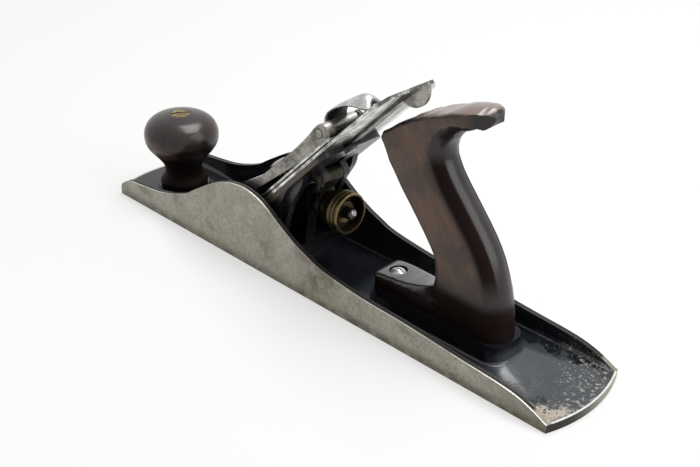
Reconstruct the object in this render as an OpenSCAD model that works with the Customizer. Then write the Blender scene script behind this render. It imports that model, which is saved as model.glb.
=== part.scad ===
// A bench plane of cast iron with a fluted sole, a double iron and a hardwood knob and tote.
// The sole lies on Z = 0. The toe points to -X and the heel to +X.
// Pieces on the bed are drawn lying flat, X up the slope and Z out of it, and then tilted.

/* [Body casting] */
// Length of the sole from toe to heel
body_l = 355.6; // [345:0.1:370]
// Width of the sole
body_w = 63.5; // [62.5:0.1:70]
// Thickness of the floor above the sole
floor_t = 5; // [4.4:0.1:5.6]
// Thickness of each cheek
cheek_t = 3.4; // [2.8:0.1:3.8]
// Height of the cheeks at the top of the hump
hump_h = 51.1; // [46:0.1:56]
// Place of the top of the hump
hump_x = -45.7; // [-50:0.1:-41]
// Height of the cheeks behind the toe
toe_cheek_h = 12.9; // [11:0.1:15]
// Height of the cheeks ahead of the heel
heel_cheek_h = 13.2; // [11:0.1:15]
// How far the toe and the heel bow outwards
end_bow = 6.2; // [4:0.1:8]
// Radius between the floor and the cheeks
root_r = 2.5; // [1.5:0.1:3]

/* [Fluted sole] */
// Number of flutes, an even number so that a land runs down the middle
flute_n = 18; // [10:2:18]
// Distance from one flute to the next
flute_pitch = 3.1; // [2.8:0.05:3.2]
// Radius of a flute's round bottom
flute_r = 1; // [0.8:0.05:1.2]
// Depth of a flute
flute_d = 0.8; // [0.5:0.05:1]
// Flat left at the toe and at the heel
flute_end = 14; // [12:0.5:25]
// Flat left before and behind the mouth
flute_mouth = 12; // [8:0.5:16]

/* [Bed and mouth] */
// Angle between the bed and the sole
bed_angle = 45; // [44:0.25:46]
// Place where the bed meets the sole
bed_x = -77.9; // [-80:0.1:-76]
// Width of the mouth
mouth_w = 55; // [53:0.1:56]
// Gap between the cutting edge and the front of the mouth
mouth_gap = 2.7; // [2:0.1:4]
// Height of the seat under the frog
frog_seat_z = 7; // [6.4:0.1:8]
// Rear edge of the seat under the frog
frog_seat_end = -19.5; // [-21:0.1:-16]

/* [Frog] */
// Width of the frog's face
frog_w = 50.8; // [48:0.1:52]
// Length of the frog's face up the bed
frog_l = 125; // [124.5:0.1:127]
// Thickness of the face plate
plate_t = 3; // [2.6:0.1:3.4]
// Radius of the face plate's top corners
plate_corner = 8; // [5:0.5:11]
// Thickness of the frog's foot
foot_t = 5; // [4:0.1:6]
// Rear edge of the frog's foot
foot_end = -22; // [-24:0.1:-21]
// Thickness of the side webs
web_t = 3.6; // [3:0.1:4]
// Gap between the two lugs that carry the yoke
lug_gap = 11; // [10.4:0.1:11.6]
// Thickness of each lug
lug_t = 4.4; // [3.6:0.1:5]
// Radius of the lugs round the yoke pin
lug_r = 4.6; // [4.2:0.1:5]
// Radius of the boss round the adjusting stud
stud_boss_r = 8.5; // [7:0.1:9]
// Radius of the boss under the lever cap screw
screw_boss_r = 8; // [7:0.1:9]
// Distance between the two frog screws
frog_screw_gap = 26; // [25:0.1:27]
// Frog screws, ahead of the foot's rear edge
frog_screw_dx = 26; // [24.5:0.1:27]
// Radius of the frog screws
frog_screw_r = 2.9; // [2.5:0.1:3.1]
// How far the frog can be set forwards or back
frog_play = 1.5; // [1:0.1:2]

/* [Depth adjustment] */
// Yoke pin up the bed
pin_u = 97; // [96.5:0.1:97.5]
// Yoke pin behind the bed
pin_back = 7; // [6.8:0.1:7.4]
// Radius of the yoke pin
yoke_pin_r = 1.9; // [1.6:0.1:2.2]
// Distance from the yoke pin down to the adjusting stud
stud_drop = 20.7; // [20.2:0.1:21.2]
// Upward tilt of the adjusting stud
stud_tilt = 3; // [2:0.25:4]
// Radius of the adjusting stud
stud_r = 3.5; // [3.1:0.1:3.9]
// Length of the stud behind the yoke pin
stud_l = 17; // [16:0.1:19]
// Radius of the adjusting nut's rim
nut_r = 12.5; // [11.5:0.1:13.5]
// Width of the adjusting nut's rim
nut_rim = 8.3; // [7:0.1:9]
// Radius of the nut's neck
neck_r = 5.5; // [5:0.1:5.8]
// Length of the nut's neck
neck_l = 4.4; // [4.2:0.1:5]
// Thickness of the yoke's fork
fork_t = 1.8; // [1.6:0.1:2]
// Yoke's finger up the bed
finger_u = 88; // [87.6:0.1:88.4]
// Half the thickness of the yoke's finger
finger_r = 1.9; // [1.6:0.1:2.1]
// Width of the yoke's finger
finger_w = 7; // [5.5:0.1:8]

/* [Lateral adjustment] */
// Lateral lever's pivot up the bed
lateral_u = 121.5; // [121.2:0.1:121.8]
// Distance from the pivot down to the roller
roller_drop = 7.5; // [7.2:0.1:7.8]
// Radius of the roller
roller_r = 4.6; // [4:0.1:4.7]
// Thickness of the lever's bar
bar_t = 1.2; // [1:0.05:1.3]
// Width of the lever's bar
bar_w = 7; // [5.5:0.1:8]
// Half-moon thumb piece, its centre up the bed
thumb_u = 186; // [183:0.1:188]
// Radius of the half-moon thumb piece
thumb_r = 10.9; // [10:0.1:11.4]
// Thickness of the thumb piece
thumb_t = 1.9; // [1.5:0.1:2.4]

/* [Double iron] */
// Width of the plane iron
iron_w = 50.8; // [48:0.1:51.6]
// Length of the plane iron
iron_l = 185.4; // [180:0.1:188]
// Size of the corners clipped off the plane iron's top end
iron_clip = 8.5; // [6:0.1:10]
// Thickness of the plane iron
iron_t = 2; // [1.85:0.05:2.2]
// Grinding angle of the plane iron
grind_angle = 25; // [23:0.5:33]
// Width of the slot in the plane iron
slot_w = 11.5; // [11.2:0.1:12]
// Radius of the hole at the lower end of the slot
slot_hole_r = 9.5; // [8.5:0.1:10]
// Top end of the cap iron up the bed
cap_top_u = 136.7; // [134:0.1:137]
// Thickness of the cap iron
cap_t = 1.8; // [1.6:0.05:1.9]
// Height of the cap iron's hump over the plane iron
cap_hump = 4.8; // [4.3:0.1:5]
// Cap iron screw up the bed
cap_screw_u = 101.6; // [101.4:0.1:101.8]
// Radius of the cap iron screw
cap_screw_r = 3.9; // [3.4:0.1:4]
// Radius of the cap iron screw's head
cap_head_r = 6.2; // [5.8:0.1:6.3]

/* [Lever cap] */
// Width of the lever cap at its lower end
lever_w = 50; // [48:0.1:50.8]
// Width of the lever cap across its ears
lever_top_w = 34; // [33:0.1:36]
// Lower edge of the lever cap up the bed
lever_foot_u = 13; // [12:0.1:14]
// Height of the lever cap's crown out of the bed
lever_crown = 17.2; // [16.5:0.1:18]
// Thickness of the lever cap's shell
shell_t = 3.2; // [2.6:0.1:3.4]
// Lever cap screw up the bed
lever_screw_u = 61; // [60.5:0.1:61.5]
// Radius of the lever cap screw
lever_screw_r = 3.9; // [3.4:0.1:4.1]
// Radius of the lever cap screw's head
lever_head_r = 6.9; // [6.4:0.1:7.2]
// Underside of the lever cap screw's head out of the bed
lever_head_w = 15.2; // [14.9:0.1:15.6]
// Slide of the lever cap from the screw to its keyhole
keyhole_l = 11; // [10:0.1:12]
// Cam pin up the bed
cam_u = 124.5; // [123.5:0.1:125.5]
// Cam pin out of the bed
cam_out = 11.2; // [11:0.1:11.6]
// Radius of the cam pin
cam_pin_r = 2.3; // [2:0.1:2.6]
// Radius of the cam round its pin
cam_r = 5.6; // [5.2:0.1:5.7]
// Width of the cam between the lever cap's ears
cam_w = 22.6; // [20:0.1:23]
// Width of the cam lever's thumb plate
cam_plate_w = 19; // [17:0.1:20]
// Tip of the cam lever up the bed
cam_tip_u = 152.8; // [152.2:0.1:153.4]
// Radius of the cam lever's back along its middle
cam_back_r = 18.4; // [18.2:0.1:18.8]
// Radius of the finger hollow under the cam lever
cam_hollow_r = 10.2; // [9.6:0.1:10.3]
// Thickness of the spring under the cam
spring_t = 0.8; // [0.6:0.05:0.9]

/* [Knob] */
// Axis of the knob, behind the toe
knob_dx = 34.4; // [32:0.1:39]
// Height of the boss under the knob
knob_seat_z = 8; // [7.2:0.1:9]
// Height of the knob
knob_h = 49.6; // [45:0.1:54]
// Largest radius of the knob
knob_r = 24.3; // [22:0.1:25]
// Radius of the knob's neck
knob_neck_r = 12.3; // [11:0.1:13.5]
// Radius of the knob's foot
knob_foot_r = 15.6; // [14.5:0.1:17]
// Radius of the knob's nut
knob_nut_r = 6.2; // [5.6:0.1:6.8]
// Radius of the two rods
rod_r = 2.8; // [2.4:0.1:3.2]

/* [Tote] */
// Height of the seat under the tote
tote_seat_z = 15; // [14:0.1:16]
// Front end of the seat under the tote
tote_x = 35.4; // [34:0.1:37]
// Length of the seat under the tote
tote_seat_l = 92; // [90:0.1:94]
// Width of the seat under the tote
tote_seat_w = 26.4; // [25:0.1:28]
// Draft of the seat's sides from top to floor
tote_seat_draft = 1.2; // [0.8:0.1:2.5]
// Thickness of the tote
tote_t = 24; // [22:0.1:25]
// Tilt of the rod through the tote
tote_rod_tilt = 28.4; // [27.5:0.1:29]
// Rod through the tote, behind the front of its seat
tote_rod_dx = 72.6; // [71.5:0.1:73.5]
// Toe screw of the tote, behind the front of its seat
toe_screw_dx = 13.1; // [12:0.1:15]
// Radius of the toe screw
toe_screw_r = 2.2; // [1.9:0.1:2.5]

/* [Hidden] */
$fn = 72;

japanned = "#23262b";
bare_iron = "#8d8a83";
steel = "#b4b6b8";
dark_steel = "#6d6a66";
brass = "#a98d4d";
rosewood = "#43261f";

seat_gap = 0.05;
run_gap = 0.05;
slide_gap = 0.1;
lift_gap = 0.3;
over = 1;

bed_sin = sin(bed_angle);
bed_cos = cos(bed_angle);

// A place on the bed, u up the slope and w out of it, as X and Z in the plane's own frame
function bed_pt(u, w) = [bed_x + u * bed_cos - w * bed_sin, u * bed_sin + w * bed_cos];

// X at height z on the plane that lies w out of the bed
function bed_x_at(z, w) = bed_x + (z - w * bed_cos) / bed_sin * bed_cos - w * bed_sin;

// A smooth curve through a few points, with n steps from each point to the next
function curve_pt(a, b, c, d, t) =
  (2 * b + (c - a) * t + (2 * a - 5 * b + 4 * c - d) * t * t
    + (3 * b - a - 3 * c + d) * t * t * t) / 2;
function smooth(p, n) =
  let (last = len(p) - 1)
  [
    for (i = [0 : last - 1], k = [0 : n - 1])
      curve_pt(p[max(i - 1, 0)], p[i], p[i + 1], p[min(i + 2, last)], k / n),
    p[last]
  ];

module on_bed() {
  translate([bed_x, 0, 0]) rotate([0, -bed_angle, 0]) children();
}

// A side view, drawn in X and Z, given a width across the plane
module across(width) {
  rotate([90, 0, 0]) linear_extrude(width, center = true) children();
}

module both_sides(y) {
  for (s = [-1, 1]) translate([0, s * y, 0]) children();
}

// Two circles and the straight flanks that touch them both
module link(p, q, rp, rq) {
  a = atan2(q.y - p.y, q.x - p.x);
  b = acos((rp - rq) / norm(q - p));
  lean = [[cos(a + b), sin(a + b)], [cos(a - b), sin(a - b)]];
  translate(p) circle(rp);
  translate(q) circle(rq);
  polygon([p + rp * lean[0], q + rq * lean[0], q + rq * lean[1], p + rp * lean[1]]);
}

// A pin with its foot at Z = 0 and a low dome of the given rise on its top
module domed_pin(r, h, rise) {
  dome_r = (r * r + rise * rise) / (2 * rise);
  intersection() {
    cylinder(r = r, h = h);
    translate([0, 0, h - dome_r]) sphere(dome_r);
  }
}

// Body casting
toe_x = -body_l / 2;
heel_x = body_l / 2;
toe_corner = toe_x + end_bow;
heel_corner = heel_x - end_bow;
knob_x = toe_x + knob_dx;
bow_r = (body_w * body_w / 4 + end_bow * end_bow) / (2 * end_bow);
channel_w = body_w - 2 * cheek_t;
mouth_back = 0.4;
mouth_front = bed_x_at(0, iron_t) - mouth_gap;
mouth_rear = bed_x_at(0, -mouth_back);
thread_floor = 2;
cheek_line = smooth([
  [toe_corner, floor_t - 0.4],
  [toe_corner + 2, floor_t + 3.3],
  [toe_corner + 10.6, toe_cheek_h],
  [toe_corner + 28, toe_cheek_h + 2.2],
  [hump_x - 78, toe_cheek_h + 5.2],
  [hump_x - 57, toe_cheek_h + 12.4],
  [hump_x - 45.5, hump_h - 18.6],
  [hump_x - 31, hump_h - 9.6],
  [hump_x - 20, hump_h - 4.3],
  [hump_x - 10, hump_h - 1.2],
  [hump_x, hump_h],
  [hump_x + 9.7, hump_h - 1.4],
  [hump_x + 19, hump_h - 5],
  [hump_x + 31, hump_h - 12.8],
  [hump_x + 42, hump_h - 19.2],
  [hump_x + 53.5, heel_cheek_h + 13.9],
  [hump_x + 65, heel_cheek_h + 10.1],
  [hump_x + 95, heel_cheek_h + 6.2],
  [heel_corner - 90, heel_cheek_h + 4.8],
  [heel_corner - 54, heel_cheek_h + 2],
  [heel_corner - 26.5, heel_cheek_h],
  [heel_corner - 12.4, heel_cheek_h - 3.1],
  [heel_corner, floor_t - 0.4]
], 4);

module plan_outline() {
  square([body_l - 2 * end_bow, body_w], center = true);
  for (s = [-1, 1]) intersection() {
    translate([s * (heel_x - bow_r), 0]) circle(bow_r);
    translate([s * (heel_x - end_bow / 2), 0]) square([end_bow, body_w], center = true);
  }
}

module cheeks() {
  difference() {
    intersection() {
      linear_extrude(hump_h + over) plan_outline();
      across(body_w) polygon(concat(
        [[toe_corner, thread_floor]], cheek_line, [[heel_corner, thread_floor]]
      ));
    }
    rotate([90, 0, 90]) linear_extrude(body_l, center = true) channel();
  }
}

// The open space between the cheeks, in a view along the plane
module channel() {
  translate([-channel_w / 2, floor_t + root_r]) square([channel_w, hump_h]);
  translate([root_r - channel_w / 2, floor_t]) square([channel_w - 2 * root_r, hump_h]);
  for (s = [-1, 1]) translate([s * (channel_w / 2 - root_r), floor_t + root_r]) circle(root_r);
}

// The pad under the tote, with a round front, a blunt rear and sloping sides
tote_pad_corner = 9;
pad_cove = 2.5;
pad_sink = 0.3;
// Half a section of the pad, r wide at its top: a drafted side with a cove at its foot
module pad_section(r) {
  h = tote_seat_z - floor_t;
  side = r + tote_seat_draft * (1 - pad_cove / h);
  difference() {
    polygon([
      [0, -pad_sink], [side + pad_cove, -pad_sink], [side + pad_cove, pad_cove],
      [side, pad_cove], [r, h], [0, h]
    ]);
    translate([side + pad_cove, pad_cove - pad_sink / 2]) circle(pad_cove);
  }
}
module tote_pad() {
  half = tote_seat_w / 2;
  rear_x = tote_seat_l - tote_pad_corner;
  translate([half, 0, 0]) rotate_extrude() pad_section(half);
  translate([half, 0, 0]) rotate([90, 0, 90]) linear_extrude(rear_x - half) {
    pad_section(half);
    mirror([1, 0]) pad_section(half);
  }
  translate([rear_x, 0, 0]) both_sides(half - tote_pad_corner)
    rotate_extrude() pad_section(tote_pad_corner);
  translate([rear_x, 0, 0]) across(2 * (half - tote_pad_corner)) pad_section(tote_pad_corner);
}

module flutes(from_x, to_x) {
  for (i = [0 : flute_n - 1])
    translate([from_x, (i - (flute_n - 1) / 2) * flute_pitch, flute_d - flute_r])
      rotate([0, 90, 0]) cylinder(r = flute_r, h = to_x - from_x);
}

knob_pad_draft = 3;
mouth_land = 2.5;
mouth_relief = 3;
module body_casting() color(bare_iron) difference() {
  union() {
    linear_extrude(floor_t) plan_outline();
    cheeks();
    translate([knob_x, 0, 0]) cylinder(
      h = knob_seat_z, r1 = knob_foot_r + 1 + knob_pad_draft, r2 = knob_foot_r + 1
    );
    across(channel_w + over) polygon([
      [mouth_rear, 0], [bed_x_at(frog_seat_z, -mouth_back), frog_seat_z],
      [frog_seat_end, frog_seat_z], [frog_seat_end + over, 0]
    ]);
    translate([tote_x, 0, floor_t]) tote_pad();
  }
  across(mouth_w) polygon([
    [mouth_front, -over], [mouth_front, mouth_land],
    [mouth_front - mouth_relief, floor_t + over],
    [bed_x_at(floor_t + over, -mouth_back), floor_t + over],
    [bed_x_at(-over, -mouth_back), -over]
  ]);
  flutes(toe_x + flute_end, mouth_front - flute_mouth);
  flutes(mouth_rear + flute_mouth, heel_x - flute_end);
  at_frog_screws(thread_floor) cylinder(r = frog_screw_r + seat_gap, h = frog_seat_z);
  translate([knob_x, 0, thread_floor]) cylinder(r = rod_r + seat_gap, h = knob_seat_z);
  on_tote_rod() translate([0, 0, -rod_root]) cylinder(r = rod_r + seat_gap, h = 2 * rod_root);
  translate([tote_x + toe_screw_dx, 0, thread_floor])
    cylinder(r = toe_screw_r + seat_gap, h = tote_seat_z);
}

// Frog, the wedge that carries the irons
face_gap = slide_gap;
plate_mid = -plate_t / 2;
plate_lip = 0.5;
frog_floor = frog_seat_z + seat_gap;
frog_low = frog_floor - over;
foot_top = frog_floor + foot_t;
flank_u = 91;
rib_u = 101;
window_u = [84, 109.8];
window_w = 14.4;
recess_d = bar_t + face_gap + 0.2;
recess_w = 13;
pocket_r = 7.2;
boss_l = 14;
stud_boss_l = 12.5;
rib_t = 8;
washer_r = 5.6;
washer_t = 1.2;

module at_frog_screws(z) {
  translate([foot_end - frog_screw_dx, 0, z]) both_sides(frog_screw_gap / 2) children();
}

module face_plate() {
  top = frog_l - plate_corner;
  translate([0, 0, -plate_t]) linear_extrude(plate_t - face_gap) {
    translate([0, -frog_w / 2]) square([top, frog_w]);
    translate([0, plate_corner - frog_w / 2]) square([frog_l, frog_w - 2 * plate_corner]);
    for (s = [-1, 1]) translate([top, s * (frog_w / 2 - plate_corner)]) circle(plate_corner);
  }
}

// Side views of the frog, from the foot up to where each one runs into the face plate
module foot_view() {
  polygon([
    [bed_x_at(frog_low, plate_mid), frog_low], [bed_x_at(foot_top, plate_mid), foot_top],
    [foot_end, foot_top], [foot_end, frog_low]
  ]);
}
module flank_view() {
  polygon(concat(
    [[bed_x_at(frog_low, plate_mid), frog_low], bed_pt(flank_u, plate_mid)],
    smooth([
      bed_pt(flank_u, 0.4 - plate_t), bed_pt(flank_u - 10, -4.6),
      bed_pt(flank_u - 19, -8.8), [foot_end + 0.8, 36], [foot_end, 24]
    ], 4),
    [[foot_end, frog_low]]
  ));
}
module rib_view() {
  polygon(concat(
    [[bed_x_at(frog_low, plate_mid), frog_low], bed_pt(rib_u, plate_mid)],
    smooth([
      bed_pt(rib_u, 0.4 - plate_t), bed_pt(rib_u - 6.5, -6.6), bed_pt(rib_u - 17, -9.2),
      bed_pt(rib_u - 25.5, -12), [foot_end + 2, 32], [foot_end, 20]
    ], 4),
    [[foot_end, frog_low]]
  ));
}
module keel_view() {
  polygon([
    [bed_x_at(frog_low, plate_mid), frog_low], bed_pt(pin_u - 22, plate_mid),
    [stud_at.x - boss_gap - 2, stud_at.y], [foot_end, foot_top], [foot_end, frog_low]
  ]);
}
module lug_view() {
  translate([pin_u, -pin_back]) circle(lug_r);
  translate([pin_u - lug_r, -pin_back]) square([2 * lug_r, pin_back + plate_mid]);
}

module frog() color(japanned) difference() {
  union() {
    on_bed() face_plate();
    across(frog_w - 2 * plate_lip) foot_view();
    both_sides(frog_w / 2 - plate_lip - web_t / 2) across(web_t) flank_view();
    both_sides(frog_w / 2 - plate_lip - 1.4 * web_t) across(1.2 * web_t) rib_view();
    across(rib_t) keel_view();
    on_bed() both_sides((lug_gap + lug_t) / 2) across(lug_t) lug_view();
    on_stud() translate([0, 0, -boss_gap - stud_boss_l])
      cylinder(r = stud_boss_r, h = stud_boss_l);
    on_bed() translate([lever_screw_u, 0, -boss_l])
      cylinder(r = screw_boss_r, h = boss_l + plate_mid);
  }
  translate([bed_x - over, -frog_w, frog_floor - frog_l]) cube([frog_l, 2 * frog_w, frog_l]);
  on_bed() translate([window_u[0], -window_w / 2, -plate_t - 0.2])
    cube([window_u[1] - window_u[0], window_w, 2 * plate_t]);
  on_bed() translate([window_u[1] - over, -recess_w / 2, -recess_d])
    cube([frog_l, recess_w, plate_t]);
  at_frog_screws(foot_top) cylinder(r = pocket_r, h = frog_l);
  at_frog_screws(0) both_ends(frog_play) cylinder(r = frog_screw_r + lift_gap, h = frog_l);
  at_frog_screws(0) translate([-frog_play, -frog_screw_r - lift_gap, 0])
    cube([2 * frog_play, 2 * (frog_screw_r + lift_gap), frog_l]);
  on_stud() translate([0, 0, -stud_root]) cylinder(r = stud_r + seat_gap, h = frog_l);
  on_bed() at_yoke_pin()
    cylinder(r = yoke_pin_r + seat_gap, h = lug_gap + 2 * lug_t + over, center = true);
  on_bed() translate([lateral_u, 0, -frog_l / 2])
    cylinder(r = lateral_rivet_r + seat_gap, h = frog_l);
  on_bed() translate([lever_screw_u, 0, 2 - boss_l])
    cylinder(r = lever_screw_r + seat_gap, h = boss_l);
}

module both_ends(x) {
  for (s = [-1, 1]) translate([s * x, 0, 0]) children();
}

module frog_washers() color(dark_steel) at_frog_screws(foot_top + seat_gap) difference() {
  cylinder(r = washer_r, h = washer_t);
  translate([0, 0, -over]) cylinder(r = frog_screw_r + lift_gap, h = washer_t + 2 * over);
}

frog_head_r = 5;
frog_head_h = 3.2;
module frog_screws() color(dark_steel) {
  head_z = foot_top + washer_t + 2 * seat_gap;
  at_frog_screws(thread_floor + seat_gap)
    cylinder(r = frog_screw_r, h = head_z - thread_floor);
  at_frog_screws(head_z) difference() {
    domed_pin(frog_head_r, frog_head_h, 0.8);
    translate([0, 0, frog_head_h]) cube([2 * frog_head_r + over, 1, 2.4], center = true);
  }
}

// Depth adjustment: stud, nut, yoke and pin.
// The stud's frame has its origin level with the yoke pin, X downwards and Z to the rear.
pin_at = bed_pt(pin_u, -pin_back);
stud_at = pin_at + stud_drop * [sin(stud_tilt), -cos(stud_tilt)];
boss_gap = 13.2;
stud_root = 24;
neck_mid = -4.1;
hub_r = 4.3;
finger_top = 2.6;

module on_stud() {
  translate([stud_at.x, 0, stud_at.y]) rotate([0, 90 - stud_tilt, 0]) children();
}

module at_yoke_pin() {
  translate([pin_u, 0, -pin_back]) rotate([90, 0, 0]) children();
}

module adjusting_stud() color(dark_steel)
  on_stud() translate([0, 0, seat_gap - stud_root]) domed_pin(stud_r, stud_root + stud_l, 1.4);

// The rim's round beads, as radius and place along the stud
nut_rear = 14.5;
nut_bead = 0.7;
bead_n = 3;
bead_steps = 7;
rim_line = [
  for (k = [0 : bead_n * bead_steps])
    let (t = k / (bead_n * bead_steps))
    [nut_r - nut_bead * (1 - abs(sin(180 * bead_n * t))), nut_rear - nut_rim * (1 - t)]
];
module adjusting_nut() color(brass) {
  bore_r = stud_r + run_gap;
  front = neck_mid - neck_l / 2;
  back = neck_mid + neck_l / 2;
  on_stud() rotate_extrude() polygon(concat(
    [
      [bore_r, front - 2.3], [neck_r + 1.8, front - 2.3], [neck_r + 2.5, front - 1.7],
      [neck_r + 2.5, front], [neck_r, front], [neck_r, back],
      [neck_r + 3, back], [neck_r + 4.2, back + 1], [neck_r + 4.6, back + 4]
    ],
    rim_line,
    [
      [nut_r - 1.9, nut_rear], [nut_r - 2.2, nut_rear - 7.4], [neck_r + 1.4, nut_rear - 7.4],
      [neck_r + 1, nut_rear - 4], [bore_r, nut_rear - 4]
    ]
  ));
}

module fork_side_view() {
  link([-stud_drop, 0], [10 - stud_drop, neck_mid], hub_r, fork_t / 2 - 0.1);
  translate([9.5 - stud_drop, neck_mid - fork_t / 2]) square([stud_drop - 6.5, fork_t]);
}
module fork_front_view() {
  hub_w = lug_gap - 2 * lift_gap;
  difference() {
    union() {
      translate([-stud_drop - hub_r, -hub_w / 2]) square([stud_drop + hub_r, hub_w]);
      circle(neck_r + 3.4);
    }
    circle(neck_r + 0.5);
    translate([3, -stud_drop]) square(2 * stud_drop);
    translate([0, -neck_r - 0.5]) square([stud_drop, 2 * neck_r + over]);
  }
}
module yoke() color(dark_steel) difference() {
  union() {
    on_stud() intersection() {
      across(2 * stud_drop) fork_side_view();
      linear_extrude(2 * stud_drop, center = true) fork_front_view();
    }
    on_bed() across(finger_w) {
      link([pin_u, -pin_back], [finger_u, -1], hub_r - 1.3, finger_r);
      link([finger_u, -1], [finger_u, finger_top], finger_r, finger_r);
    }
  }
  on_bed() at_yoke_pin() cylinder(r = yoke_pin_r + run_gap, h = frog_w, center = true);
}

module yoke_pin() color(dark_steel)
  on_bed() at_yoke_pin() cylinder(r = yoke_pin_r, h = lug_gap + 2 * lug_t + 0.6, center = true);

// Lateral adjustment: lever, thumb piece, rivet and roller
lateral_rivet_r = 2.4;
rivet_head_t = 1.2;
bar_w0 = -face_gap - bar_t;
peg_r = 1.8;
module bar_outline() {
  link([lateral_u - roller_drop, 0], [lateral_u, 0], peg_r + 1.8, bar_w / 2);
  translate([lateral_u, -bar_w / 2]) square([thumb_u - lateral_u, bar_w]);
  translate([thumb_u, 0]) circle(bar_w / 2);
}
module lateral_lever() color(steel) on_bed() {
  translate([0, 0, bar_w0]) linear_extrude(bar_t) difference() {
    bar_outline();
    translate([lateral_u, 0]) circle(lateral_rivet_r + run_gap);
  }
  translate([lateral_u - roller_drop, 0, bar_w0]) cylinder(r = peg_r, h = bar_t + iron_t);
}

module lateral_thumb_piece() color(steel) on_bed() intersection() {
  across(thumb_t) translate([thumb_u, bar_w0 - seat_gap + 3]) circle(thumb_r);
  translate([0, -thumb_t, bar_w0 - seat_gap - thumb_r])
    cube([thumb_u + thumb_r, 2 * thumb_t, thumb_r]);
}

module lateral_rivet() color(dark_steel) on_bed() translate([lateral_u, 0, -plate_t]) {
  translate([0, 0, -rivet_head_t])
    cylinder(r = lateral_rivet_r, h = plate_t + rivet_head_t - face_gap);
  translate([0, 0, -rivet_head_t - seat_gap])
    cylinder(r = lateral_rivet_r + 1.5, h = rivet_head_t);
}

module lateral_roller() color(dark_steel) on_bed()
  translate([lateral_u - roller_drop, 0, 0.1]) difference() {
    cylinder(r = roller_r, h = iron_t - 0.3);
    translate([0, 0, -over]) cylinder(r = peg_r + seat_gap, h = iron_t + 2 * over);
  }

// Double iron
edge_u = -1.4;
iron_top_u = edge_u + iron_l;
slot_low_u = 52;
slot_top_u = 127;
cap_floor = iron_t + seat_gap;
cap_top = cap_floor + cap_t;
cap_edge_u = 0.2;
cap_hump_l = 31;

module long_hole(from_u, to_u, width) {
  translate([from_u, -width / 2]) square([to_u - from_u, width]);
  translate([from_u, 0]) circle(width / 2);
  translate([to_u, 0]) circle(width / 2);
}

module plane_iron() color(steel) on_bed() difference() {
  half = iron_w / 2;
  linear_extrude(iron_t) difference() {
    polygon([
      [edge_u, -half], [iron_top_u - iron_clip, -half], [iron_top_u, iron_clip - half],
      [iron_top_u, half - iron_clip], [iron_top_u - iron_clip, half], [edge_u, half]
    ]);
    translate([slot_low_u, -slot_w / 2]) square([slot_top_u - slot_low_u, slot_w]);
    translate([slot_low_u, 0]) circle(slot_hole_r);
  }
  across(iron_w + over) polygon([
    [edge_u, iron_t], [edge_u - over, iron_t], [edge_u - over, -over],
    [edge_u + (iron_t + over) / tan(grind_angle), -over]
  ]);
}

module cap_iron_view() {
  crest = iron_t + cap_hump;
  polygon(concat(
    smooth([
      [cap_edge_u, cap_floor + 0.2], [cap_edge_u + 3.2, crest - 2.2], [8, crest - 0.6],
      [13, crest], [18.5, crest - 0.7], [25, crest - 2.2], [cap_hump_l, cap_top]
    ], 4),
    [[cap_top_u, cap_top], [cap_top_u, cap_floor]],
    smooth([
      [cap_hump_l, cap_floor], [24.6, crest - 4.1], [18, crest - 2.5], [13, crest - cap_t],
      [8.5, crest - 2.4], [4.6, crest - 3.7], [cap_edge_u + 1.4, cap_floor]
    ], 4)
  ));
}
module cap_iron() color(steel) on_bed() difference() {
  across(iron_w) cap_iron_view();
  linear_extrude(4 * cap_t) {
    long_hole(lever_screw_u - 4, lever_screw_u + 5, 2 * lever_screw_r + 3);
    translate([finger_u, 0]) square([2 * finger_r + 1, finger_w + 1], center = true);
    translate([cap_screw_u, 0]) circle(cap_screw_r + seat_gap);
  }
}

cap_head_h = 2;
module cap_iron_screw() color(dark_steel) on_bed() translate([cap_screw_u, 0, 0]) {
  translate([0, 0, -seat_gap - cap_head_h]) difference() {
    cylinder(r = cap_head_r, h = cap_head_h);
    cube([2 * cap_head_r + over, 1.2, 1.8], center = true);
  }
  translate([0, 0, -seat_gap - over]) cylinder(r = cap_screw_r, h = cap_top + over);
}

// Lever cap and its cam
lever_end_u = 132;
lip_w = iron_t + cap_hump + lift_gap;
ear_w = cam_w + 2 * lift_gap;
ear_root_u = 112;
web_u = [94, 108];
spring_top = cam_out - cam_r - lift_gap;
lever_wall = 3.4;
keyhole_r = lever_head_r + 0.4;
// The lever cap's top line, from behind its lip to its ears
crown_line = [
  [20, lever_crown - 6], [29, lever_crown - 2.5], [40, lever_crown - 0.4], [48, lever_crown],
  [56, lever_crown - 0.9], [69, lever_crown - 4], [80, lever_crown - 4.4],
  [91, lever_crown - 4.3], [104, lever_crown - 4]
];

module lever_cap_side() {
  polygon(concat(
    smooth(concat(
      [[lever_foot_u, lip_w], [lever_foot_u + 0.3, lip_w + 1.6]],
      crown_line,
      [
        [117, lever_crown - 2.9], [126, lever_crown - 2],
        [lever_end_u - 1.5, lever_crown - 3.2], [lever_end_u, lever_crown - 6]
      ]
    ), 4),
    smooth([
      [lever_end_u, 8], [lever_end_u - 1.5, 5.5], [124, 5.4], [108, 5.4], [98, 5.6], [79, 7.2],
      [64, 8.6], [50, 10.2], [36, 10], [24, 8], [18, lip_w + 0.1], [lever_foot_u, lip_w]
    ], 4)
  ));
}

// Plan of the lever cap, drawn in from its edge by the inset
module lever_cap_plan(inset, to_u) {
  wide = lever_w / 2 - inset;
  narrow = lever_top_w / 2 - inset;
  side = smooth([
    [lever_foot_u, wide], [44, wide], [62, wide - 0.6], [80, (wide + narrow) / 2 + 1.4],
    [98, narrow + 2.3], [113, narrow + 0.3], [lever_end_u, narrow]
  ], 4);
  intersection() {
    polygon(concat(side, [for (i = [len(side) - 1 : -1 : 0]) [side[i].x, -side[i].y]]));
    translate([0, -lever_w]) square([to_u, 2 * lever_w]);
  }
}

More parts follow.
